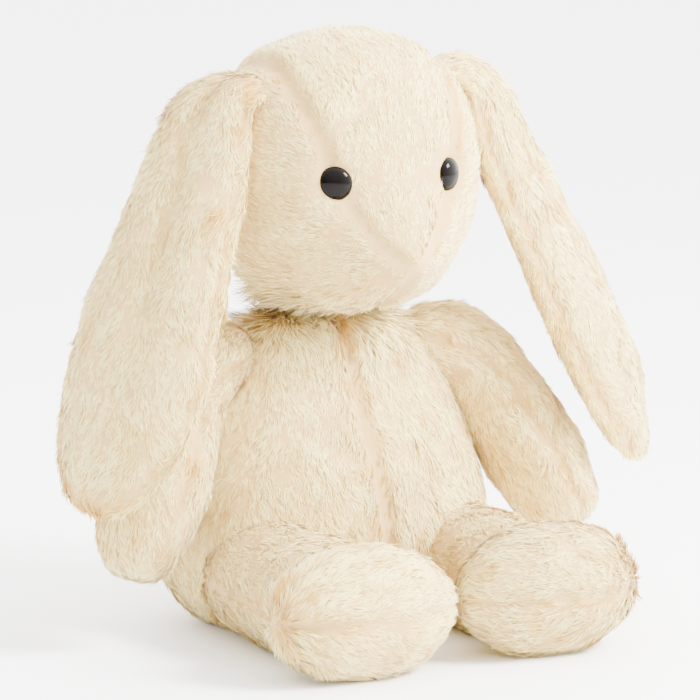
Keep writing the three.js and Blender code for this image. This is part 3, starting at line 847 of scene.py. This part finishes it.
def makeFoot(side, sign):
    p = foot
    x = np.array([-0.5, -0.17, 0.17, 0.5]) * p["width"]
    path = np.stack([sign * (p["spacing"] / 2 + x), 0 * x + p["y"], 0 * x + p["height"] / 2 - 1], -1)
    plain, spine = limbSkin(path, np.array([0, sign, 0.0]), np.array(p["shares"]) * p["depth"],
                            np.array(p["shares"]) * p["height"], p["power"])

    def skin(angle, t):
        # a pillow: gathered pleats at the outer end and a groove where the sole is sewn on
        point = plain(angle, t)
        start = p["pleatsFrom"]
        gather = p["pleatDepth"] * np.cos(p["pleats"] * angle) * np.clip((t - start) / (1 - start), 0, 1)
        dent = 2.6 * bump(np.sin(angle), 0.13) + gather - 0.7 * ripples(point, 34, 17 + sign)
        return point - leaning(spine, angle, t) * (settle(dent) * endRound(t, 4))[..., None]

    def comb(point, along, angle, t):
        # inward from the gathered end, parting at the seam
        return -along + 0.2 * np.sign(np.sin(angle))[:, None] * spine(t)[3]

    def shade(point, angle, t):
        # dull at the seam, longer and duller at the gathered end
        seam = bump(np.sin(angle), 0.12)
        end = np.clip((t - 0.8) / 0.2, 0, 1)
        tone = 0.6 - 0.35 * seam - 0.3 * end + 0.26 * ripples(point, 20, 81)
        return tone, 1 - 0.2 * seam + 0.15 * end, 1 + 0.3 * ripples(point, 18, 82) + 0.6 * end

    coverForm(
        "foot_" + side, skin, comb, shade,
        [
            (f"foot_{side}_upper", lambda q, a, t: np.sin(a) > 0, pileCream),
            (f"foot_{side}_sole", lambda q, a, t: np.sin(a) <= 0, pileCream),
        ],
        "leg_" + side, [f"foot_{side}_upper", f"foot_{side}_sole"], seed=1100 + 100 * (sign > 0),
        grid=(84, 60),
    )


for side, sign in (("right", -1), ("left", 1)):
    makeEar(side, sign)
    makeArm(side, sign)
    makeLeg(side, sign)
    makeFoot(side, sign)

tail = dict(radius=20, centre=np.array([0, 63.0, 36.0]), sewnY=50)


def tailSkin(angle, t):
    # a ball
    way = np.stack([np.sin(np.pi * t) * np.cos(angle), np.sin(np.pi * t) * np.sin(angle),
                    -np.cos(np.pi * t) + 0 * angle], -1)
    return tail["centre"] + way * tail["radius"]


def tailComb(point, along, angle, t):
    return np.stack([0 * t, 0.4 + 0 * t, -1 + 0 * t], -1)


def tailShade(point, angle, t):
    # one tone, with long pile that stands up
    return 0.7 + 0 * t, 1.1 + 0 * t, 1.9 + 0 * t


coverForm(
    "tail", tailSkin, tailComb, tailShade,
    [("tail", lambda q, a, t: q[:, 1] > tail["sewnY"], pileCream)],
    "torso", ["tail_cover"], seed=1500, grid=(48, 32),
)

# the pieces inside keep the frame's meshes and get their own finishes
for name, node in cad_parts.items():
    if name.endswith(("stuffing", "filling")):
        finish = fibre
    elif name == "pellet_bag":
        finish = pouch
    elif name.startswith("eye_washer"):
        finish = moulded
    elif name == "neck_thread":
        finish = threadCotton
    else:
        continue
    node.data.materials.clear()
    node.data.materials.append(finish)
print("inner pieces finished")


# places in metres, angles in degrees; world is the sky's strength on its dark and bright sides
studio = dict(
    target=(-0.007, -0.040, 0.131), azimuth=-30.0, elevation=10.0, distance=2.6, lens=292.0,
    key=dict(place=(0.8, -0.9, 1.1), size=0.5, power=115.0),
    fill=dict(place=(-1.1, -0.9, 0.7), size=1.4, power=4.0),
    world=(0.15, 9.5), brightSide=(0.85, 0.35, 0.38), floorHalf=3000.0,
)


def makeFloor():
    finish = Finish("paleFloor", Roughness=0.8)
    place = finish.add("ShaderNodeTexCoord", output=3)
    grain = finish.add("ShaderNodeTexNoise", None, {"Vector": place, "Scale": 3.0})
    finish.feed("Base Color", finish.mixColour(grain, (0.9, 0.9, 0.9, 1), (0.93, 0.93, 0.93, 1)))
    size = studio["floorHalf"]
    corners = np.array([[-size, -size, 0], [size, -size, 0], [size, size, 0], [-size, size, 0]])
    meshPiece("floor", corners, [[0, 1, 2, 3]], finish.material, smooth=False)


def makeLamp(name, place, size, power):
    # a soft square lamp aimed at the target
    lamp = bpy.data.lights.new(name, "AREA")
    lamp.size, lamp.energy = size, power
    holder = bpy.data.objects.new(name, lamp)
    holder.location = place
    aim = Vector(studio["target"]) - Vector(place)
    holder.rotation_euler = aim.to_track_quat("-Z", "Y").to_euler()
    bpy.context.scene.collection.objects.link(holder)


def makeCamera():
    # looks at the target from its azimuth, elevation and distance
    a, e = math.radians(studio["azimuth"]), math.radians(studio["elevation"])
    back = Vector((math.sin(a) * math.cos(e), -math.cos(a) * math.cos(e), math.sin(e)))
    data = bpy.data.cameras.new("camera")
    data.lens, data.sensor_width = studio["lens"], 36
    camera = bpy.data.objects.new("camera", data)
    camera.location = Vector(studio["target"]) + back * studio["distance"]
    camera.rotation_euler = (-back).to_track_quat("-Z", "Y").to_euler()
    bpy.context.scene.collection.objects.link(camera)
    bpy.context.scene.camera = camera


def makeWorld():
    # a white sky that is dim on one side and bright on the other, with an even slope between
    world = bpy.data.worlds.new("studio")
    world.use_nodes = True
    sky = world.node_tree.nodes
    direction, facing, level = (sky.new(kind) for kind in (
        "ShaderNodeTexCoord", "ShaderNodeVectorMath", "ShaderNodeMapRange"))
    facing.operation = "DOT_PRODUCT"
    facing.inputs[1].default_value = studio["brightSide"]
    for socket, value in zip(level.inputs[1:5], (-1.0, 1.0, *studio["world"])):
        socket.default_value = value
    sky["Background"].inputs[0].default_value = (1, 1, 1, 1)
    for start, end in (
        (direction.outputs["Generated"], facing.inputs[0]),
        (facing.outputs["Value"], level.inputs[0]),
        (level.outputs[0], sky["Background"].inputs[1]),
    ):
        world.node_tree.links.new(start, end)
    bpy.context.scene.world = world


makeFloor()
makeLamp("key", **studio["key"])
makeLamp("fill", **studio["fill"])
makeWorld()
makeCamera()
print("studio ready, tufts", tuftTotal)
